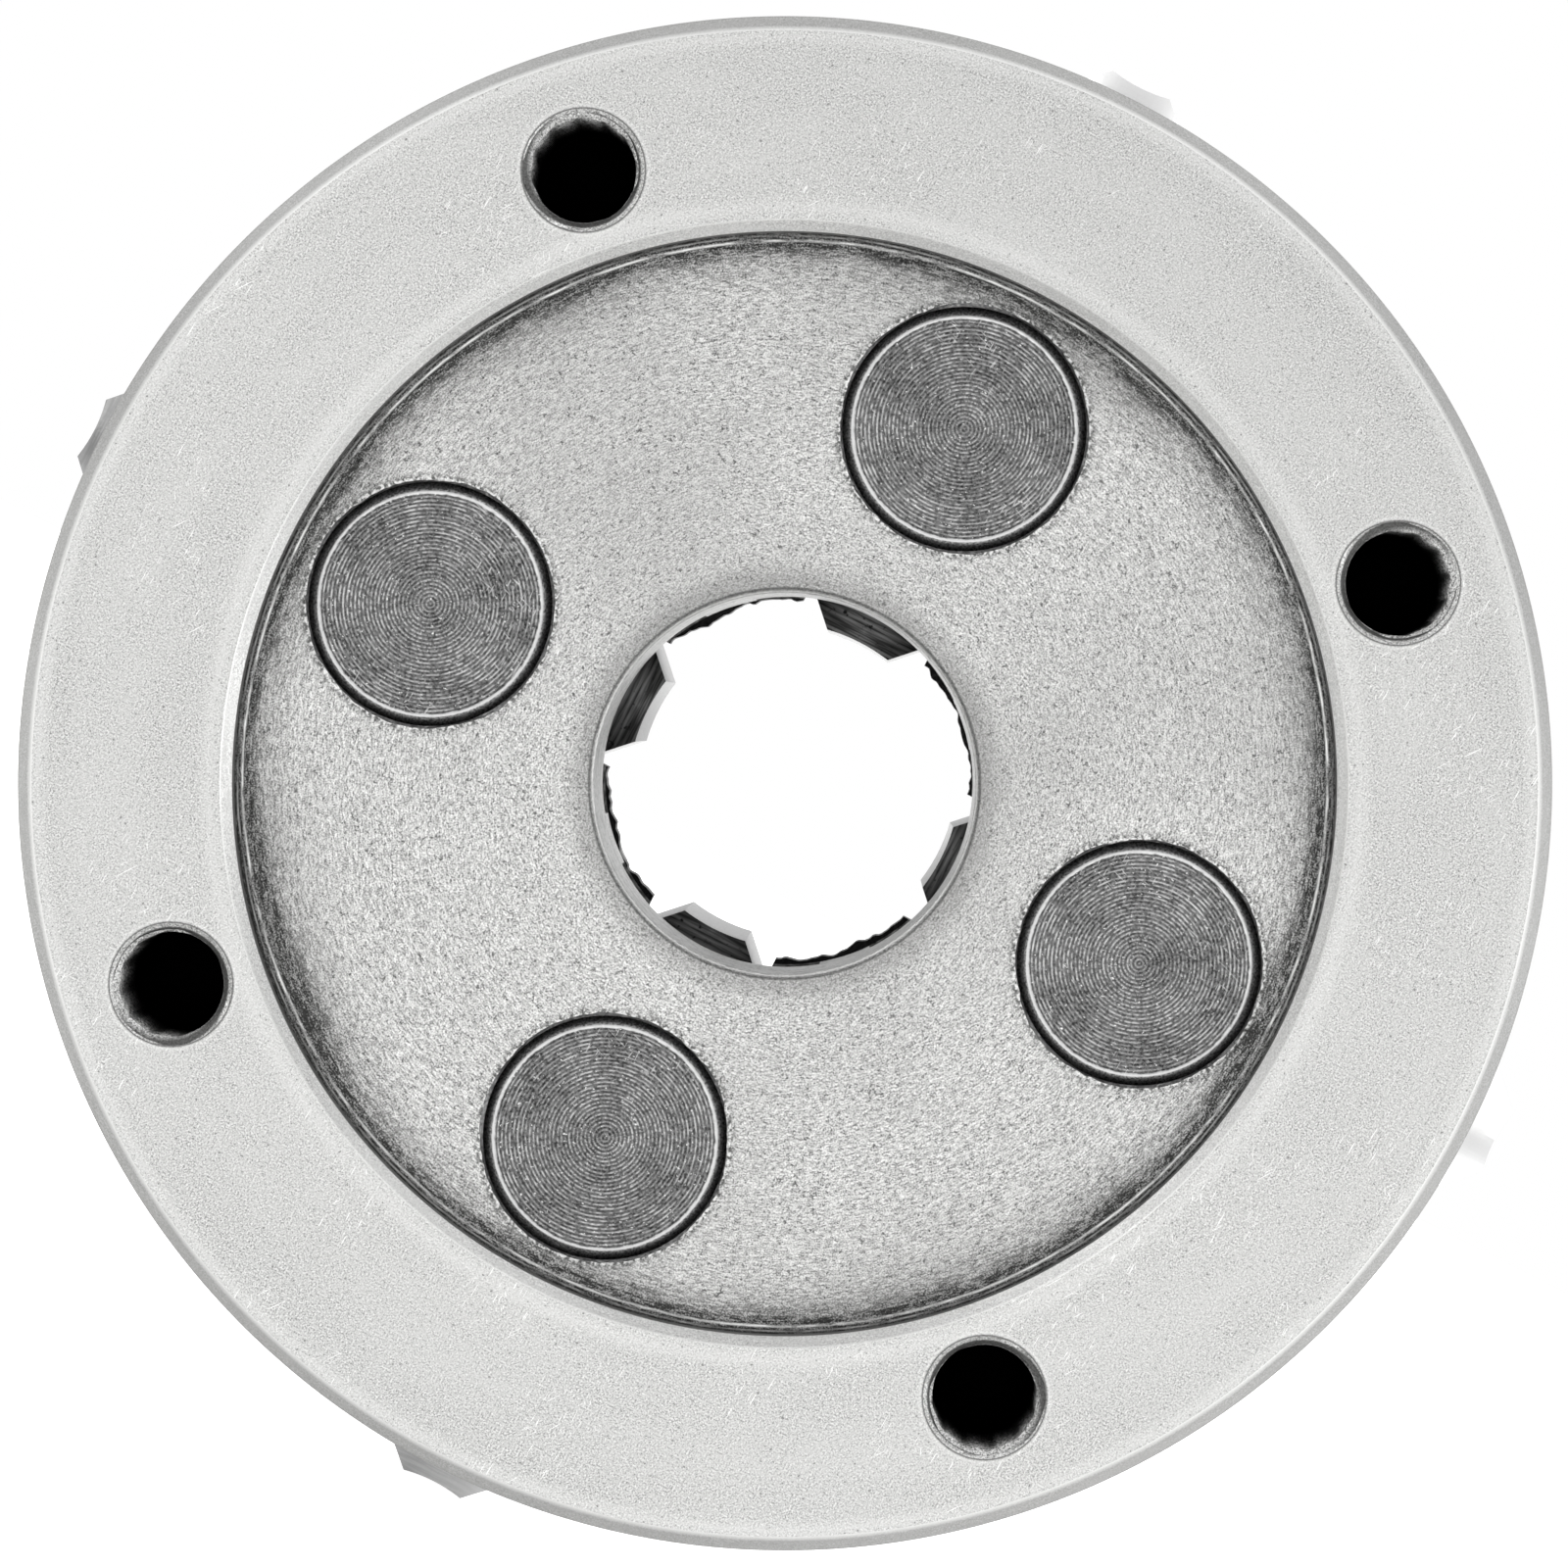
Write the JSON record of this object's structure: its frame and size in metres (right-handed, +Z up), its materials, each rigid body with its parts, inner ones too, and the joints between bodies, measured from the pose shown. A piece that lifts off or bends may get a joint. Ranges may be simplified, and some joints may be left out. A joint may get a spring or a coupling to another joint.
{
  "type": "four-jaw independent lathe chuck",
  "caption": "Round lathe chuck, seen mostly from its rear face, with stepped reversible jaws that each move on a screw of their own.",
  "frame": {"origin": "centre of the rear mounting face, on the chuck's axis", "axes": "+Y along the chuck's axis from the rear face towards the jaws, +Z up along the slot of jaw 1, +X along the slot of jaw 4"},
  "size_m": [0.1071, 0.053, 0.1066],
  "materials": {
    "cast_iron": "turned",
    "jaw_steel": "ground",
    "screw_steel": "oiled black",
    "pin_steel": "turned"
  },
  "bodies": {
    "root": {"chuck_body": "cast_iron", "thrust_pin_1": "pin_steel", "thrust_pin_2": "pin_steel", "thrust_pin_3": "pin_steel", "thrust_pin_4": "pin_steel"},
    "jaw_slide_1": {"jaw_1": "jaw_steel"},
    "jaw_drive_1": {"jaw_screw_1": "screw_steel"},
    "jaw_slide_2": {"jaw_2": "jaw_steel"},
    "jaw_drive_2": {"jaw_screw_2": "screw_steel"},
    "jaw_slide_3": {"jaw_3": "jaw_steel"},
    "jaw_drive_3": {"jaw_screw_3": "screw_steel"},
    "jaw_slide_4": {"jaw_4": "jaw_steel"},
    "jaw_drive_4": {"jaw_screw_4": "screw_steel"}
  },
  "joints": [
    {"name": "jaw_1_slide", "type": "slide", "parent": "root", "child": "jaw_slide_1", "axis": [0, 0, 1], "range_m": [-0.0077, 0.01]},
    {"name": "jaw_screw_1_turn", "type": "hinge", "parent": "root", "child": "jaw_drive_1", "pos_m": [0, 0.018, 0.0485], "axis": [0, 0, 1], "range_deg": [-1113.8, 1445]},
    {"name": "jaw_2_slide", "type": "slide", "parent": "root", "child": "jaw_slide_2", "axis": [-1, 0, 0], "range_m": [-0.0078, 0.01]},
    {"name": "jaw_screw_2_turn", "type": "hinge", "parent": "root", "child": "jaw_drive_2", "pos_m": [-0.0485, 0.018, 0], "axis": [-1, 0, 0], "range_deg": [-1128.2, 1445]},
    {"name": "jaw_3_slide", "type": "slide", "parent": "root", "child": "jaw_slide_3", "axis": [0, 0, -1], "range_m": [-0.0083, 0.01]},
    {"name": "jaw_screw_3_turn", "type": "hinge", "parent": "root", "child": "jaw_drive_3", "pos_m": [0, 0.018, -0.0485], "axis": [0, 0, -1], "range_deg": [-1200.2, 1445]},
    {"name": "jaw_4_slide", "type": "slide", "parent": "root", "child": "jaw_slide_4", "axis": [1, 0, 0], "range_m": [-0.0087, 0.01]},
    {"name": "jaw_screw_4_turn", "type": "hinge", "parent": "root", "child": "jaw_drive_4", "pos_m": [0.0485, 0.018, 0], "axis": [1, 0, 0], "range_deg": [-1257.8, 1445]}
  ],
  "couplings": [
    {"joint": "jaw_screw_1_turn", "follows": "jaw_1_slide", "rad_per_m": 2513.3},
    {"joint": "jaw_screw_2_turn", "follows": "jaw_2_slide", "rad_per_m": 2513.3},
    {"joint": "jaw_screw_3_turn", "follows": "jaw_3_slide", "rad_per_m": 2513.3},
    {"joint": "jaw_screw_4_turn", "follows": "jaw_4_slide", "rad_per_m": 2513.3}
  ]
}
